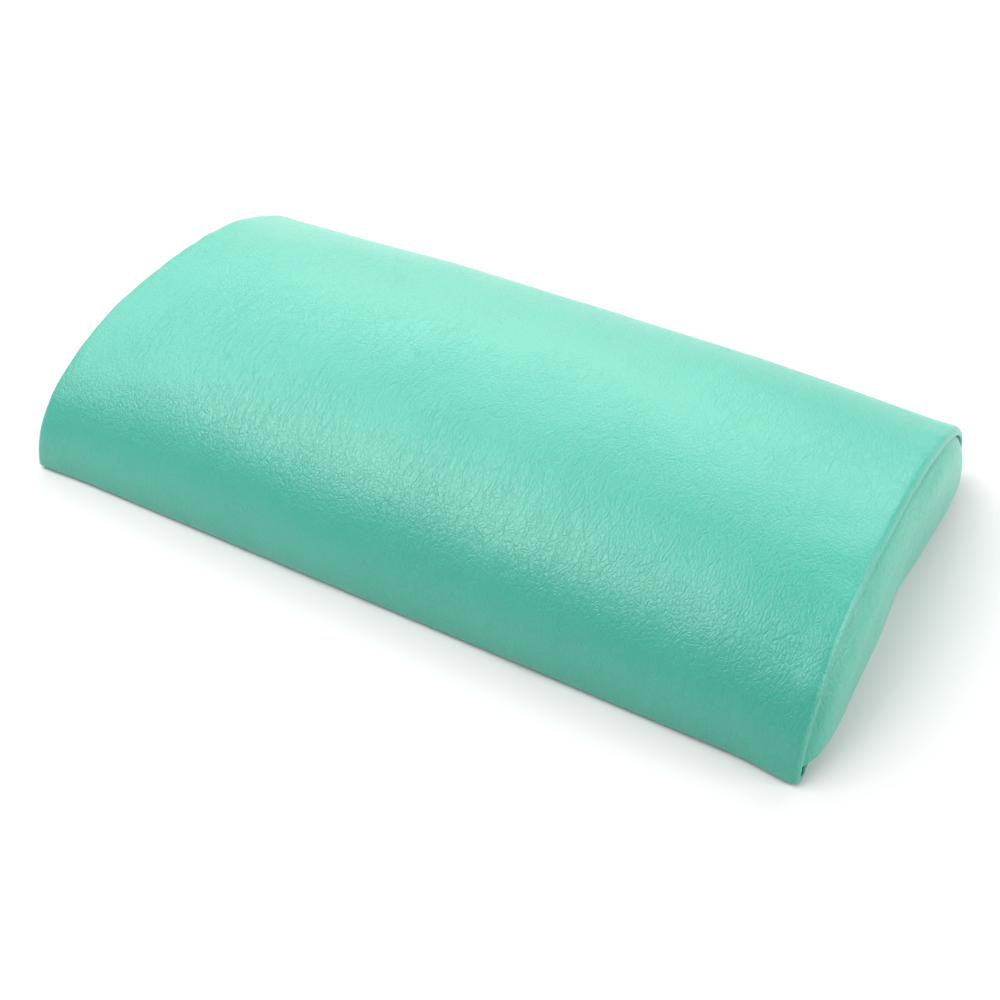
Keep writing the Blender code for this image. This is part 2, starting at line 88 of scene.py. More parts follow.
EAR_RIGHT, EAR_LEFT = 0.0024, 0.0006  # how far the front bottom corners are drawn out
EAR_REACH = 0.036
EAR_HEIGHT = 0.030
END_PUSH = 0.0020  # how much fuller the ends are low down at the front
PUSH_MIDDLE, PUSH_REACH, PUSH_HEIGHT = -0.065, 0.060, 0.035

# Zip, about the tape's middle
PIN_HEIGHT = 0.0039  # of the pull tab's pin over the tape
TAPE = 0.0006
TAPE_INNER, TAPE_OUTER = 0.0013, 0.0092
TAPE_CLOSES = 0.0050  # distance past the closed slider's middle where the edges start to close, at both ends
TAPE_TAPER = 0.003
TAPE_EDGE = 0.0002  # of each closed edge from the zip's centre line
COIL_PITCH = 0.0013
COIL_STEPS = 10  # points in each turn
COIL_WIRE = 0.00023
COIL_MIDDLE = 0.00100  # from the zip's centre line to the row's
COIL_HALF_WIDTH = 0.00092
COIL_LEVEL = 0.0013
COIL_HALF_HEIGHT = 0.00045
COIL_SPREAD = 0.00105  # how far each row moves out to pass the slider's divider
SPREAD_LEAD = 0.003  # distance before the slider's middle where the rows start to part
SPREAD_REACH = 0.0052
COIL_MARGIN = 0.0005  # between the teeth and each end of the row
THREAD = 0.00032
STITCH_PITCH = 0.0032
STITCH_LENGTH = 0.0027

# Cloth
CELL = 0.0032
SWELL = 0.0008  # how much smaller the cloth starts
CLOTH_CAP, END_CAP = 0.0022, 0.0015  # the furthest that a point of the top or of an end moves
PINNED_BAND = 0.016  # width over which the hold of a seam fades
CLOTH_STEPS = 20
SINK = 0.0005  # the cloth never settles deeper than this, so that it stays clear of the wadding
FOLD_SINK = 0.0006  # nor does a fold
WIDE_FOLD, NARROW_FOLD = 0.0009, 0.00035
SEAM_PUCKER, SEAM_PUCKER_REACH = 0.0007, 0.020
FOOT_PUCKER, FOOT_PUCKER_REACH = 0.0006, 0.014
END_RIPPLE = 0.0007


def smooth_step(value):
    value = min(1.0, max(0.0, value))
    return value * value * (3 - 2 * value)


def arch_point(x, inset, angle):
    """(y, z) on the cover at station x. Angle 0 is the front foot and pi the back foot.

    Towards the ends the crown drops, while the walls near the foot stay.
    """
    cosine, sine = math.cos(angle), max(0.0, math.sin(angle))
    rise = sine ** (2 / ARCH_POWER)
    reach = abs(cosine) ** (2 / ARCH_POWER) * (HALF_DEPTH - inset)
    drop = CROWN_DROP * min(1.0, abs(x) / HALF_LENGTH) ** CROWN_POWER
    share = max(0.0, rise - 0.1) / 0.9 if cosine > 0 else smooth_step((rise - 0.3) / 0.7)
    return -math.copysign(reach, cosine), rise * (HEIGHT - inset) - drop * share


def arch_angle(inset, height):
    return math.asin((height / (HEIGHT - inset)) ** (ARCH_POWER / 2))


def wall(inset, height):
    return arch_point(0, inset, math.pi - arch_angle(inset, height))[0]


def arc(centre, radius, start, end, count):
    turns = [math.radians(start + (end - start) * i / count) for i in range(count + 1)]
    return [(centre[0] + radius * math.cos(t), centre[1] + radius * math.sin(t)) for t in turns]


def half_slot(x):
    """Half the distance between the cover's edges: open over the zip, closed near the ends."""
    to_end = HALF_LENGTH - abs(x)
    return SLOT_CLOSED + (ZIP_SLOT - SLOT_CLOSED) * smooth_step((to_end - SLOT_END) / SLOT_TAPER)


def settled(point):
    """A point of the sewn cover as the stuffing leaves it: ends leaning in, front corners drawn to an ear."""
    x, y, z = point
    side = math.copysign(1, x)
    along = smooth_step((abs(x) - (HALF_LENGTH - EAR_REACH)) / EAR_REACH)
    across = smooth_step((-y - (HALF_DEPTH - EAR_REACH)) / EAR_REACH)
    ear = (EAR_RIGHT if x > 0 else EAR_LEFT) * along ** 1.5 * across * max(0.0, 1 - z / EAR_HEIGHT) ** 1.6
    push = END_PUSH * along * math.exp(-((y - PUSH_MIDDLE) / PUSH_REACH) ** 2 - (z / PUSH_HEIGHT) ** 2)
    tuck = FOOT_TUCK * max(0.0, 1 - z / TUCK_HEIGHT) ** 2 * smooth_step(-y / HALF_DEPTH) * (1 - along)
    crest = (LEFT_LEAN if x < 0 else 1) * z / HEIGHT
    draw = 1 - END_LEAN * (crest + 0.5 * (1 - (y / HALF_DEPTH) ** 2))
    return Vector((x * draw + side * (push + 0.3 * ear), y - ear + tuck, z))


def straight_stations():
    end = HALF_LENGTH - EDGE_RADIUS
    count = round(2 * end / CELL)
    return [-end + 2 * end * i / count for i in range(count + 1)]


def over_end(side):
    """(x, inset) over one end of the top panel and down into the seam's groove."""
    turn = arc((HALF_LENGTH - EDGE_RADIUS, EDGE_RADIUS), EDGE_RADIUS, 270, 360, 6)[1:]
    roll = arc((HALF_LENGTH - SEAM_TURN, EDGE_RADIUS), SEAM_TURN, 0, 90, 3)[1:]
    inner = (HALF_LENGTH - GROOVE, EDGE_RADIUS + SEAM_TURN)
    return [(side * x, inset) for x, inset in [*turn, *roll, inner]]


def top_section(x, inset, count=120):
    """(y, z) line of the top panel: turned-in foot, arch, and the hem over the zip."""
    front = arch_point(x, inset, arch_angle(inset, FOOT))[0]
    under = FOOT - FOOT_RADIUS
    foot = [(front + 0.0060, under + 0.0012), (front + 0.0040, under + 0.0003)]
    foot += arc((front + FOOT_RADIUS, FOOT), FOOT_RADIUS, 270, 180, 5)[:-1]
    edge = ZIP_HEIGHT + half_slot(x)
    first, last = arch_angle(inset, FOOT), math.pi - arch_angle(inset, edge)
    over = [arch_point(x, inset, first + (last - first) * i / count) for i in range(count + 1)]
    turned = 2 * HEM
    hem = [(wall(inset + HEM, edge - 0.0005), edge - 0.0005), (wall(inset + turned, edge), edge)]
    return foot + over + hem + [(wall(inset + turned, edge + 0.004), edge + 0.004)]


def base_section(x, inset, lift):
    """(y, z) line of the base panel: front rim, base, back corner, and the back wall up to the zip."""
    front = RIM_SET_BACK - HALF_DEPTH + inset
    turned_in = [(front + 0.0040, 0.0017), (front + 0.0010, 0.0017)]
    rim = turned_in + arc((front + 0.0010, 0.0009), 0.0009, 150, 270, 4)
    back = wall(inset, CORNER)
    middle = [(front + (back - CORNER - front) * i / 40, 0.0) for i in range(1, 40)]
    corner = arc((back - CORNER, CORNER), CORNER, 270, 350, 5)
    edge = ZIP_HEIGHT - half_slot(x)
    rise = [(wall(inset, z), z) for z in (0.0062, 0.0085, 0.0110, edge - 0.0003)]
    turned = 2 * HEM
    hem = [(wall(inset + HEM, edge + 0.0004), edge + 0.0004), (wall(inset + turned, edge), edge)]
    line = rim + middle + corner + rise + hem + [(wall(inset + turned, edge - 0.004), edge - 0.004)]
    return [(y, max(z, lift)) for y, z in line]


def rows_mesh(name, rows, closed_ring=False):
    mesh = bpy.data.meshes.new(name)
    width = len(rows[0])
    faces = []
    for r in range(len(rows) - 1):
        for c in range(width if closed_ring else width - 1):
            right = (c + 1) % width
            faces.append((r * width + c, (r + 1) * width + c, (r + 1) * width + right, r * width + right))
    mesh.from_pydata([point for row in rows for point in row], [], faces)
    shape = bmesh.new()
    shape.from_mesh(mesh)
    bmesh.ops.recalc_face_normals(shape, faces=shape.faces)
    shape.to_mesh(mesh)
    shape.free()
    mesh.shade_smooth()
    return mesh


def show(name, mesh, finish, nodes, body="pillow"):
    """Links a piece that stands for CAD nodes and rides on their body."""
    piece = bpy.data.objects.new(name, mesh)
    bpy.context.scene.collection.objects.link(piece)
    mesh.materials.clear()
    mesh.materials.append(finish)
    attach(piece, body)
    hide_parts(*nodes)
    return piece


def turn_outward(mesh):
    """Flips a sheet whose faces look towards the pillow's middle."""
    outward = sum((f.center - PILLOW_MIDDLE).dot(f.normal) * f.area for f in mesh.polygons)
    if outward < 0:
        mesh.flip_normals()


def apply_modifiers(piece):
    evaluated = piece.evaluated_get(bpy.context.evaluated_depsgraph_get())
    mesh = bpy.data.meshes.new_from_object(evaluated)
    piece.modifiers.clear()
    old, piece.data = piece.data, mesh
    bpy.data.meshes.remove(old)


def inflate(piece, pinned, cap):
    """Cloth under a little pressure, held along its seams, then fixed in the mesh.

    No point moves beyond cap, and none sinks deeper than SINK.
    """
    mesh = piece.data
    rest = [v.co.copy() for v in mesh.vertices]
    normals = [v.normal.copy() for v in mesh.vertices]
    hold = [pinned(co) for co in rest]
    for vertex, normal, share in zip(mesh.vertices, normals, hold):
        vertex.co -= normal * SWELL * (1 - share)
    group = piece.vertex_groups.new(name="seams")
    for index, share in enumerate(hold):
        group.add([index], share, "REPLACE")
    cloth = piece.modifiers.new("cloth", "CLOTH")
    cloth.settings.quality = 6
    cloth.settings.mass = 0.25
    cloth.settings.tension_stiffness = 30
    cloth.settings.compression_stiffness = 30
    cloth.settings.shear_stiffness = 12
    cloth.settings.bending_stiffness = 2
    cloth.settings.use_pressure = True
    cloth.settings.uniform_pressure_force = 6
    cloth.settings.vertex_group_mass = "seams"
    cloth.settings.effector_weights.gravity = 0
    cloth.point_cache.frame_end = CLOTH_STEPS
    for step in range(1, CLOTH_STEPS + 1):
        bpy.context.scene.frame_set(step)
    apply_modifiers(piece)
    for vertex, start, normal, share in zip(piece.data.vertices, rest, normals, hold):
        move = vertex.co - start
        move -= normal * min(0.0, move.dot(normal) + SINK)
        vertex.co = start + move * min(1.0, cap / max(move.length, 1e-9)) * (1 - share)
    bpy.context.scene.frame_set(1)


def refine(piece, displacement):
    """One subdivision, then small folds along the normals."""
    piece.modifiers.new("smooth", "SUBSURF").levels = 1
    apply_modifiers(piece)
    mesh = piece.data
    moves = [displacement(v.co) for v in mesh.vertices]
    for vertex, normal, move in zip(mesh.vertices, [v.normal.copy() for v in mesh.vertices], moves):
        vertex.co += normal * move
    mesh.shade_smooth()


def seam_distance(point):
    """Distance from the nearest end seam."""
    return max(0.0, HALF_LENGTH - abs(point.x))


def folds(point):
    """Height of the small folds and hollows that a stuffed vinyl cover shows."""
    low = noise.noise(point * 14) * WIDE_FOLD + noise.noise(point * 31 + Vector((3, 1, 7))) * NARROW_FOLD
    to_end = seam_distance(point)
    fade = math.exp(-((to_end / SEAM_PUCKER_REACH) ** 2))
    pucker = noise.noise(Vector((0.4 * point.x, point.y, point.z)) * 70) * SEAM_PUCKER * fade
    foot = math.exp(-((point.z - FOOT) / FOOT_PUCKER_REACH) ** 2)
    foot_pucker = noise.noise(Vector((point.x, 0.3 * point.y, 0.3 * point.z)) * 55) * FOOT_PUCKER * foot
    still = smooth_step(to_end / 0.004) * smooth_step((point.z - 0.003) / 0.004)
    if point.y > 0:
        still *= smooth_step((point.z - 0.032) / 0.020)
    return max(-FOLD_SINK, low + pucker + foot_pucker) * still


# Materials

class Nodes:
    """Short names for building a node tree."""

    def __init__(self, name):
        self.material = bpy.data.materials.new(name)
        self.material.use_nodes = True
        self.tree = self.material.node_tree
        self.shader = self.tree.nodes["Principled BSDF"]
        self.place = self.add("ShaderNodeTexCoord").outputs["Object"]

    def add(self, kind, inputs=None, **settings):
        node = self.tree.nodes.new(kind)
        for key, value in settings.items():
            setattr(node, key, value)
        for key, value in (inputs or {}).items():
            self.set(node.inputs[key], value)
        return node

    def set(self, socket, value):
        if isinstance(value, bpy.types.NodeSocket):
            self.tree.links.new(value, socket)
        else:
            socket.default_value = value

    def math(self, operation, a, b):
        return self.add("ShaderNodeMath", {0: a, 1: b}, operation=operation).outputs[0]

    def noise(self, scale, detail=2.0, roughness=0.5):
        inputs = {"Vector": self.place, "Scale": scale, "Detail": detail, "Roughness": roughness}
        return self.add("ShaderNodeTexNoise", inputs).outputs[0]

    def spread(self, value, low, high, to_low=0.0, to_high=1.0):
        inputs = {"Value": value, "From Min": low, "From Max": high, "To Min": to_low, "To Max": to_high}
        made = self.add("ShaderNodeMapRange", inputs)
        made.interpolation_type = "SMOOTHSTEP"
        return made.outputs[0]

    def stretch(self, place, scale, turn):
        return self.add("ShaderNodeMapping", {"Vector": place, "Scale": scale, "Rotation": turn}).outputs[0]

    def mix(self, share, a, b, blend="MIX"):
        made = self.add("ShaderNodeMix", data_type="RGBA", blend_type=blend)
        self.set(made.inputs["Factor"], share)
        self.set(made.inputs[6], a)
        self.set(made.inputs[7], b)
        return made.outputs[2]

    def bump(self, height, distance, strength=1.0, under=None):
        inputs = {"Height": height, "Distance": distance, "Strength": strength}
        if under is not None:
            inputs["Normal"] = under
        return self.add("ShaderNodeBump", inputs).outputs[0]


def vinyl_material(name):
    """Mint upholstery vinyl: fine pebbles, small creases in three directions, and a soft gloss, with painted
    shade that darkens the colour in the creases and between the pebbles.
    """
    n = Nodes(name)
    warp = n.add("ShaderNodeTexNoise", {"Vector": n.place, "Scale": 260.0, "Detail": 2.0}).outputs["Color"]
    shift = n.add("ShaderNodeVectorMath", {0: warp, 1: (0.5, 0.5, 0.5)}, operation="SUBTRACT").outputs[0]
    shift = n.add("ShaderNodeVectorMath", {0: shift, "Scale": 0.0024}, operation="SCALE").outputs[0]
    bent = n.add("ShaderNodeVectorMath", {0: n.place, 1: shift}, operation="ADD").outputs[0]
    turned = n.stretch(bent, (1.0, 0.7, 0.7), (0.0, 0.0, 0.30))
    cells = n.add("ShaderNodeTexVoronoi", {"Vector": turned, "Scale": 540.0}, feature="DISTANCE_TO_EDGE")
    pebble = n.spread(cells.outputs["Distance"], 0.0, 0.20)
    creases = []
    for turn, scale in ((0.55, 170.0), (-0.25, 200.0), (1.25, 230.0)):
        placed = n.stretch(bent, (1.0, 0.34, 0.34), (0.1, 0.1, turn))
        line = n.add("ShaderNodeTexVoronoi", {"Vector": placed, "Scale": scale}, feature="DISTANCE_TO_EDGE")
        where = n.spread(n.noise(16.0 + 5 * len(creases), 2.0), 0.42, 0.60)
        gap = n.math("SUBTRACT", 1.0, n.spread(line.outputs["Distance"], 0.0, 0.075))
        creases.append(n.math("MULTIPLY", gap, where))
    crease = n.math("SUBTRACT", 1.0, n.math("MAXIMUM", n.math("MAXIMUM", creases[0], creases[1]), creases[2]))
    height = n.math("ADD", n.math("MULTIPLY", pebble, 0.48), n.math("MULTIPLY", crease, 0.52))
    soft = n.bump(n.noise(46.0, 3.0, 0.5), 0.0007, 0.6)
    relief = n.bump(height, 0.00018, 1.0, soft)
    n.set(n.shader.inputs["Normal"], relief)
    n.set(n.shader.inputs["Coat Normal"], relief)
    patch = n.noise(9.0, 3.0)
    colour = n.mix(patch, (0.042, 0.400, 0.292, 1), (0.052, 0.424, 0.312, 1))
    # painted shade: the base colour is up to 7% darker where the grain is low, in the creases and between the
    # pebbles
    shade = n.math("SUBTRACT", 1.0, n.math("MULTIPLY", n.math("SUBTRACT", 1.0, height), 0.07))
    n.set(n.shader.inputs["Base Color"], n.mix(1.0, colour, shade, "MULTIPLY"))
    n.set(n.shader.inputs["Roughness"], n.spread(height, 0.0, 1.0, 0.52, 0.42))
    n.shader.inputs["IOR"].default_value = 1.5
    n.shader.inputs["Specular IOR Level"].default_value = 0.5
    n.shader.inputs["Coat Weight"].default_value = 0.6
    n.shader.inputs["Coat Roughness"].default_value = 0.36
    return n.material


def weave_material(name, colour, scale, rough=0.85):
    """Woven tape or thread: two crossing waves in the bump, and in the colour as painted shade where the
    weave is low.
    """
    n = Nodes(name)
    waves = []
    for axis in ("X", "Z"):
        made = n.add("ShaderNodeTexWave", {"Vector": n.place, "Scale": scale, "Distortion": 0.4})
        made.bands_direction = axis
        waves.append(made.outputs["Fac"])
    height = n.math("MULTIPLY", waves[0], waves[1])
    # painted shade: the colour falls to 62% where the weave is low
    weave_shade = tuple(0.62 * c for c in colour)
    n.set(n.shader.inputs["Base Color"], n.mix(height, (*weave_shade, 1), (*colour, 1)))
    n.set(n.shader.inputs["Normal"], n.bump(height, 0.00015))
    n.shader.inputs["Roughness"].default_value = rough
    return n.material


def metal_material(name):
    """Plated zinc with faint cast marks and wear."""
    n = Nodes(name)
    wear = n.noise(420.0, 3.0, 0.5)
    n.set(n.shader.inputs["Base Color"], n.mix(wear, (0.50, 0.50, 0.50, 1), (0.60, 0.60, 0.61, 1)))
    n.set(n.shader.inputs["Roughness"], n.spread(wear, 0.3, 0.7, 0.24, 0.32))
    n.set(n.shader.inputs["Normal"], n.bump(wear, 0.000004))
    n.shader.inputs["Metallic"].default_value = 1.0
    return n.material


def nylon_material(name):
    n = Nodes(name)
    tint = n.noise(500.0, 2.0)
    n.set(n.shader.inputs["Base Color"], n.mix(tint, (0.15, 0.52, 0.40, 1), (0.20, 0.60, 0.47, 1)))
    n.set(n.shader.inputs["Normal"], n.bump(tint, 0.00002))
    n.shader.inputs["Roughness"].default_value = 0.35
    return n.material


def porous_material(name, colour, scale, depth):
    """Foam or wadding: small pores or fibres, with painted shade that darkens the colour where they are low.
    """
    n = Nodes(name)
    pores = n.add("ShaderNodeTexVoronoi", {"Vector": n.place, "Scale": scale}).outputs["Distance"]
    fuzz = n.noise(scale * 0.5, 5.0, 0.7)
    height = n.math("MULTIPLY", pores, fuzz)
    # painted shade: the colour falls to 70% where the pores and fibres are low
    n.set(n.shader.inputs["Base Color"], n.mix(height, (*[0.7 * c for c in colour], 1), (*colour, 1)))
    n.set(n.shader.inputs["Normal"], n.bump(height, depth))
    n.shader.inputs["Roughness"].default_value = 0.95
    return n.material


def paint(finish, *nodes):
    """A finish for CAD nodes that stay as they are."""
    for node in nodes:
        for slot in frame["nodes"][node].material_slots:
            slot.material = finish


# Pieces

def make_cover_top(finish):
    stations = list(reversed(over_end(-1))) + [(x, 0.0) for x in straight_stations()] + over_end(1)
    rows = [[settled((x, y, z)) for y, z in top_section(x, inset)] for x, inset in stations]
    mesh = rows_mesh("cover_top", rows)
    turn_outward(mesh)
    piece = show("cover_top", mesh, finish, ["cover_top_panel"])

    def held(point):
        near_end = 1 - smooth_step((seam_distance(point) - 0.003) / PINNED_BAND)
        near_foot = 1 - smooth_step((point.z - 0.006) / PINNED_BAND)
        near_zip = 1 - smooth_step((point.z - 0.028) / PINNED_BAND) if point.y > 0 else 0.0
        return max(near_end, near_foot, near_zip)

    inflate(piece, held, CLOTH_CAP)
    refine(piece, folds)
    return piece


def make_cover_base(finish):
    """The flat base, curled up into the end seams, with the low back wall under the zip."""
    beyond = over_end(1)
    lifts = [END_FLOOR * smooth_step((x - HALF_LENGTH + 0.0042) / 0.0042) * 0.9 for x, _ in beyond[:6]]
    lifts += [END_FLOOR * share for share in (0.92, 0.95, 0.97, 0.97)]
    side = [(x, inset, lift) for (x, inset), lift in zip(beyond, lifts)]
    stations = [(-x, inset, lift) for x, inset, lift in reversed(side)]
    stations += [(x, 0.0, 0.0) for x in straight_stations()] + side
    rows = [[settled((x, y, z)) for y, z in base_section(x, inset, lift)] for x, inset, lift in stations]
    mesh = rows_mesh("cover_base", rows)
    turn_outward(mesh)
    piece = show("cover_base", mesh, finish, ["cover_base_panel"])
    return piece


def end_outline(inset, floor, count=90):
    first = arch_angle(inset, floor + 0.001)
    turns = [first + (math.pi - 2 * first) * i / count for i in range(count + 1)]
    over = [arch_point(HALF_LENGTH, inset, turn) for turn in turns]
    left, right = over[0][0], over[-1][0]
    base = [(right + (left - right) * i / 60, floor) for i in range(1, 60)]
    return over + base


def make_cover_end(name, side, node, finish):
    """The D-shaped end, domed out from the groove of its seam."""
    outer = EDGE_RADIUS + SEAM_TURN + SEAM_GAP
    rings = [(HALF_LENGTH - GROOVE, outer, END_FLOOR)]
    for x, inset in arc((HALF_LENGTH - 0.0026, outer + 0.0022), 0.0022, 270, 340, 4):
        rings.append((x, inset, END_FLOOR + inset - outer))
    rows = [[Vector((x, y, z)) for y, z in end_outline(inset, floor)] for x, inset, floor in rings]
    middle = Vector((0, 0, 0.40 * (HEIGHT - CROWN_DROP)))
    rim_x, _, _ = rings[-1]
    edge = rows[-1]
    for i in range(1, DOME_RINGS + 1):
        share = 1 - (i / (DOME_RINGS + 0.6)) ** 1.5
        row = []
        for point in edge:
            spoke = Vector((0, point.y, point.z)) - middle
            rise = 1 - math.exp(-spoke.length * (1 - share) / DOME_RISE)
            place = middle + spoke * share
            fuller = 1 + BACK_FULLNESS * smooth_step(place.y / 0.090)
            row.append(Vector((rim_x + rise * fuller * (BULGE + HALF_LENGTH - rim_x), place.y, place.z)))
        rows.append(row)
    rows = [[settled((side * p.x, p.y, p.z)) for p in row] for row in rows]
    mesh = rows_mesh(name, rows, closed_ring=True)
    shape = bmesh.new()
    shape.from_mesh(mesh)
    shape.verts.ensure_lookup_table()
    count = len(edge)
    shape.faces.new([shape.verts[len(shape.verts) - count + i] for i in range(count)])
    bmesh.ops.recalc_face_normals(shape, faces=shape.faces)
    shape.to_mesh(mesh)
    shape.free()
    mesh.shade_smooth()
    turn_outward(mesh)
    piece = show(name, mesh, finish, [node])

    def held(point):
        rim = (HALF_LENGTH + 0.001 - abs(point.x)) / 0.003
        return min(1.0, max(0.0, rim))

    def ripples(point):
        still = smooth_step((abs(point.x) - HALF_LENGTH) / 0.003)
        return noise.noise(point * 30) * END_RIPPLE * still

    inflate(piece, held, END_CAP)
    refine(piece, ripples)
    return piece


def zip_place():
    """Origin of the zip on the pillow's middle plane, and unit vectors up the wall and outwards."""
    hinge = next(joint for joint in frame["joints"] if joint["name"] == "pull_tab_swing")
    up = -Vector(hinge["axis"]).normalized()
    up = Vector((0, -abs(up.y), abs(up.z))).normalized()
    out = Vector((0, up.z, -up.y))
    pin = Vector(hinge["pos_m"])
    return Vector((0, pin.y, pin.z)) - out * PIN_HEIGHT, up, out, pin.x


def tube(name, lines, radius, finish, node):
    """Round thread or wire along lines of points."""
    curve = bpy.data.curves.new(name, "CURVE")
    curve.dimensions = "3D"
    curve.bevel_depth = radius
    curve.bevel_resolution = 1
    curve.use_fill_caps = True
    for points in lines:
        spline = curve.splines.new("POLY")
        spline.points.add(len(points) - 1)
        for point, place in zip(spline.points, points):
            point.co = (*place, 1)
            point.radius = 1.0
    curve.materials.append(finish)
    piece = bpy.data.objects.new(name, curve)
    bpy.context.scene.collection.objects.link(piece)
    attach(piece, "pillow")
    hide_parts(node)
    return piece


def make_coil(name, side, finish):
    """One row of the coil: a flattened helix, its tips between the other row's, spread at the slider."""
    origin, up, out, slider_x = zip_place()
    start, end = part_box(name)[0].x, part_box(name)[1].x
    turns = int((end - start - 2 * COIL_MARGIN) / COIL_PITCH)
    shift = 0.25 * COIL_PITCH * side
    points = []
    for i in range(turns * COIL_STEPS + 1):
        turn = i / COIL_STEPS
        x = start + COIL_MARGIN + COIL_PITCH * turn + shift
        apart = COIL_SPREAD * smooth_step((x - slider_x + SPREAD_LEAD) / SPREAD_REACH)
        across = COIL_MIDDLE + apart - COIL_HALF_WIDTH * math.cos(2 * math.pi * turn)
        height = COIL_LEVEL + COIL_HALF_HEIGHT * math.sin(2 * math.pi * turn)
        points.append(origin + Vector((x, 0, 0)) + up * side * across + out * height)
    return tube(f"{name}_teeth", [points], COIL_WIRE, finish, name)


def make_tape(name, side, finish):
    """One woven tape of the zip. Past the stops its edge closes up to the other tape's."""
    origin, up, out, slider_x = zip_place()
    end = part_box(name)[1].x
    count = round(2 * end / 0.002)
    rows = []
    for i in range(count + 1):
        x = -end + 2 * end * i / count
        past = smooth_step((abs(x) - slider_x - TAPE_CLOSES) / TAPE_TAPER)
        inner = TAPE_INNER + (TAPE_EDGE - TAPE_INNER) * past
        line = [(inner, 0.5), (TAPE_OUTER, 0.5), (TAPE_OUTER, -0.5), (inner, -0.5)]
        rows.append([origin + Vector((x, 0, 0)) + up * side * w + out * TAPE * n for w, n in line])
    mesh = rows_mesh(f"{name}_woven", rows, closed_ring=True)
    mesh.set_sharp_from_angle(angle=math.radians(40))
    return show(f"{name}_woven", mesh, finish, [name])


def make_topstitch(name, height, finish):
    """A row of lockstitches through the cover and the tape, each dipping in at its ends."""
    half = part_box(name)[1].x
    step = (wall(0, height + 0.001) - wall(0, height - 0.001)) / 0.002
    out = Vector((0, 1, -step)).normalized()
    face = Vector((0, wall(0, height), height))
    count = round(2 * half / STITCH_PITCH)
    profile = ((0.0, -0.0004), (0.12, 0.0001), (0.3, 0.00025), (0.5, 0.0003), (0.7, 0.00025), (0.88, 0.0001),
               (1.0, -0.0004))
    lines = []
    for i in range(count):
        start = -half + 2 * half * i / count
        lines.append([face + Vector((start + STITCH_LENGTH * u, 0, 0)) + out * rise for u, rise in profile])
    return tube(name.replace("stitch", "topstitch"), lines, THREAD, finish, name)


def soften(node, body, finish, width):
    """A metal piece with its edges rounded as cast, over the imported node's own shape."""
    mesh = frame["nodes"][node].data.copy()
    piece = show(f"{node}_cast", mesh, finish, [node], body)
    shape = bmesh.new()
    shape.from_mesh(mesh)
    bmesh.ops.remove_doubles(shape, verts=shape.verts, dist=0.000005)
    bmesh.ops.dissolve_limit(shape, angle_limit=math.radians(1), verts=shape.verts, edges=shape.edges)
    shape.to_mesh(mesh)
    shape.free()
    bevel = piece.modifiers.new("rounding", "BEVEL")
    bevel.width = width
    bevel.segments = 3
    bevel.limit_method = "ANGLE"
    bevel.angle_limit = math.radians(35)
    bevel.harden_normals = True
    apply_modifiers(piece)
    piece.data.shade_smooth()
    piece.data.set_sharp_from_angle(angle=math.radians(50))
    return piece


def main():
    vinyl = vinyl_material("mint_vinyl")
    tape = weave_material("zip_tape", (0.16, 0.52, 0.40), 900.0)
    thread = weave_material("sewing_thread", (0.13, 0.50, 0.37), 1500.0, 0.7)
    metal = metal_material("zip_metal")
    nylon = nylon_material("zip_coil")
    make_cover_top(vinyl)
    make_cover_base(vinyl)
    make_cover_end("cover_end_left", -1, "cover_end_panel_left", vinyl)
    make_cover_end("cover_end_right", 1, "cover_end_panel_right", vinyl)
    paint(thread, "stitch_end_left", "stitch_end_right", "stitch_front_edge")
    for row, side in (("upper", 1), ("lower", -1)):
        make_tape(f"zip_tape_{row}", side, tape)
        make_coil(f"zip_coil_{row}", side, nylon)
        make_topstitch(f"stitch_zip_{row}", ZIP_HEIGHT + side * (ZIP_SLOT + TOPSTITCH_OFFSET), thread)
    for node in ("zip_top_stop_upper", "zip_top_stop_lower", "zip_bottom_stop"):
        soften(node, "pillow", metal, 0.0003)
    soften("zip_slider", "slider", metal, 0.00022)
    soften("zip_pull_tab", "pull_tab", metal, 0.00022)
    paint(porous_material("foam", (0.90, 0.85, 0.66), 700.0, 0.0006), "foam_core")
    paint(porous_material("wadding", (0.92, 0.92, 0.91), 260.0, 0.0012), "wadding_wrap")


# Stage, light and camera

STAGE_RADIUS = 12.0
BACKDROP_HEIGHT = 1.0


def stage_piece(name, mesh, finish):
    mesh.materials.append(finish)
    piece = bpy.data.objects.new(name, mesh)
    bpy.context.scene.collection.objects.link(piece)


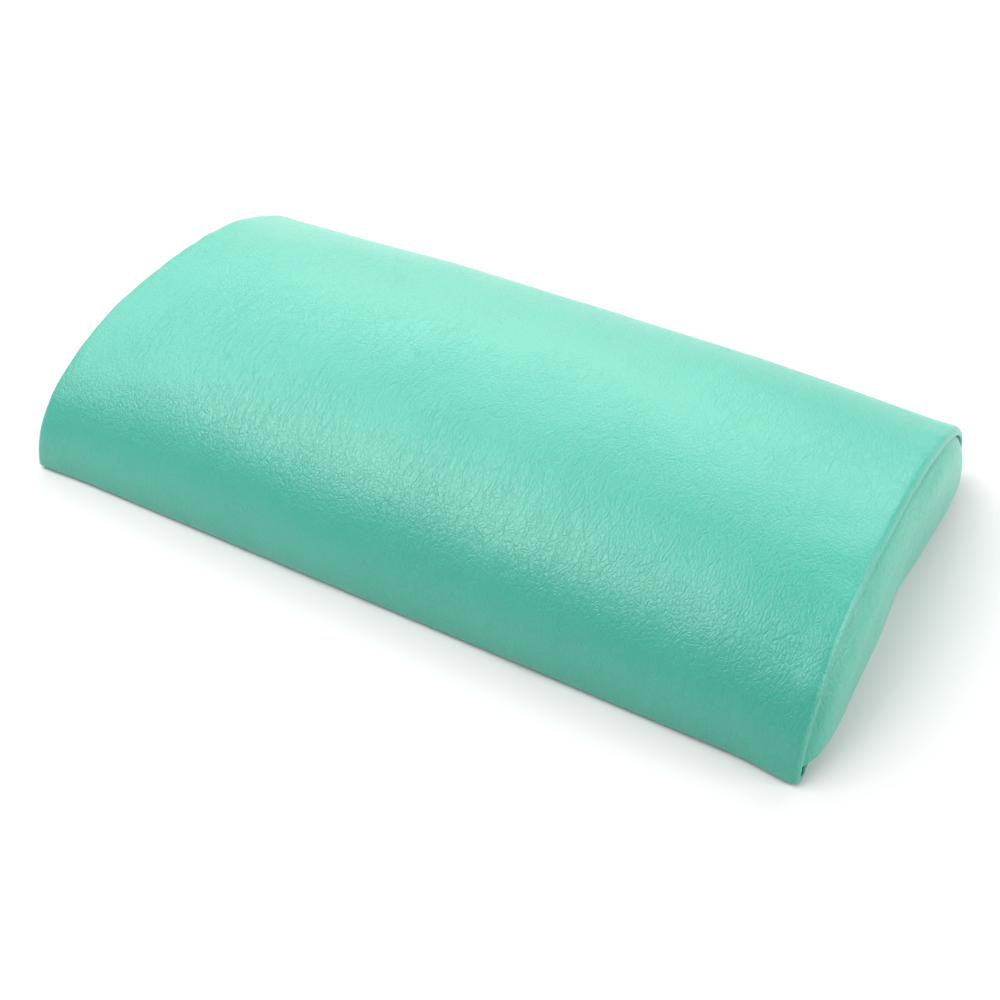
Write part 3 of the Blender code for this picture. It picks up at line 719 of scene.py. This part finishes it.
def make_stage():
    """A white floor that glows as painted light, faintly near the pillow and fully far from it, so that it
    stays bright far from the lights, and a low bright wall round it.
    """
    n = Nodes("floor")
    n.set(n.shader.inputs["Base Color"], n.mix(n.noise(3.0), (0.69, 0.69, 0.69, 1), (0.71, 0.71, 0.71, 1)))
    n.shader.inputs["Roughness"].default_value = 0.9
    n.shader.inputs["Specular IOR Level"].default_value = 0.1
    n.shader.inputs["Emission Color"].default_value = (1, 1, 1, 1)
    away = n.add("ShaderNodeVectorMath", {0: n.place}, operation="LENGTH").outputs["Value"]
    # painted light: the floor glows with strength 0.09 within 0.8 m of the middle, rising to 1.0 beyond 2.6 m
    n.set(n.shader.inputs["Emission Strength"], n.spread(away, 0.8, 2.6, 0.09, 1.0))
    half, drop = STAGE_RADIUS, -0.0002
    floor = bpy.data.meshes.new("floor")
    corners = [(-half, -half, drop), (half, -half, drop), (half, half, drop), (-half, half, drop)]
    floor.from_pydata(corners, [], [(0, 1, 2, 3)])
    stage_piece("floor", floor, n.material)
    glow = Nodes("backdrop")
    glow.shader.inputs["Base Color"].default_value = (0.7, 0.7, 0.7, 1)
    glow.shader.inputs["Roughness"].default_value = 0.9
    glow.shader.inputs["Emission Color"].default_value = (1, 1, 1, 1)
    glow.shader.inputs["Emission Strength"].default_value = 1.0
    turns = [2 * math.pi * i / 64 for i in range(64)]
    rows = [[(half * math.cos(t), half * math.sin(t), z) for t in turns] for z in (drop, BACKDROP_HEIGHT)]
    stage_piece("backdrop", rows_mesh("backdrop", rows, closed_ring=True), glow.material)


def direction(around, above):
    """Unit vector towards a place round the pillow: 0 degrees is the front and 90 the right."""
    around, above = math.radians(around), math.radians(above)
    return Vector((math.sin(around) * math.cos(above), -math.cos(around) * math.cos(above), math.sin(above)))


def softbox(name, around, above, distance, size, radiance):
    """A soft rectangular light that faces the pillow."""
    data = bpy.data.lights.new(name, "AREA")
    data.shape = "RECTANGLE"
    data.size, data.size_y = size
    data.energy = radiance * math.pi * size[0] * size[1]
    light = bpy.data.objects.new(name, data)
    light.location = direction(around, above) * distance
    light.rotation_euler = direction(around, above).to_track_quat("Z", "Y").to_euler()
    bpy.context.scene.collection.objects.link(light)


def make_lights():
    """A ring of softboxes, brightest over the left shoulder, round the back, and at the right end."""
    softbox("key_softbox", -45, 60, 1.5, (1.1, 1.1), 5.4)
    softbox("left_softbox", -90, 45, 1.6, (1.0, 1.0), 1.6)
    softbox("back_left_softbox", -120, 35, 1.8, (1.0, 0.9), 2.2)
    softbox("back_softbox", -152, 38, 1.85, (1.0, 0.8), 3.8)
    softbox("back_low_softbox", -152, 14, 1.9, (1.2, 0.8), 0.8)
    softbox("back_right_softbox", 170, 45, 1.8, (1.1, 1.0), 3.7)
    softbox("right_softbox", 100, 28, 1.7, (0.9, 0.9), 6.8)
    world = bpy.data.worlds.new("studio")
    bpy.context.scene.world = world
    world.use_nodes = True
    world.node_tree.nodes["Background"].inputs["Color"].default_value = (1, 1, 1, 1)
    world.node_tree.nodes["Background"].inputs["Strength"].default_value = 0.03
    bpy.context.scene.view_settings.view_transform = "Standard"


def make_camera():
    """A long lens from the front right, a little above, with the whole pillow in view."""
    back = direction(29.5, 39.7)
    right = (-back).cross(Vector((0, 0, 1))).normalized()
    up = right.cross(-back)
    axes = Matrix((right, up, back)).transposed() @ Matrix.Rotation(math.radians(0.23), 3, "Z")
    data = bpy.data.cameras.new("camera")
    data.lens = 54.2
    data.shift_x, data.shift_y = 0.0014, -0.030
    camera = bpy.data.objects.new("camera", data)
    camera.matrix_world = Matrix.Translation(back * 1.879 * 2 * HALF_LENGTH) @ axes.to_4x4()
    bpy.context.scene.collection.objects.link(camera)
    bpy.context.scene.camera = camera


make_camera()
make_lights()
make_stage()
main()
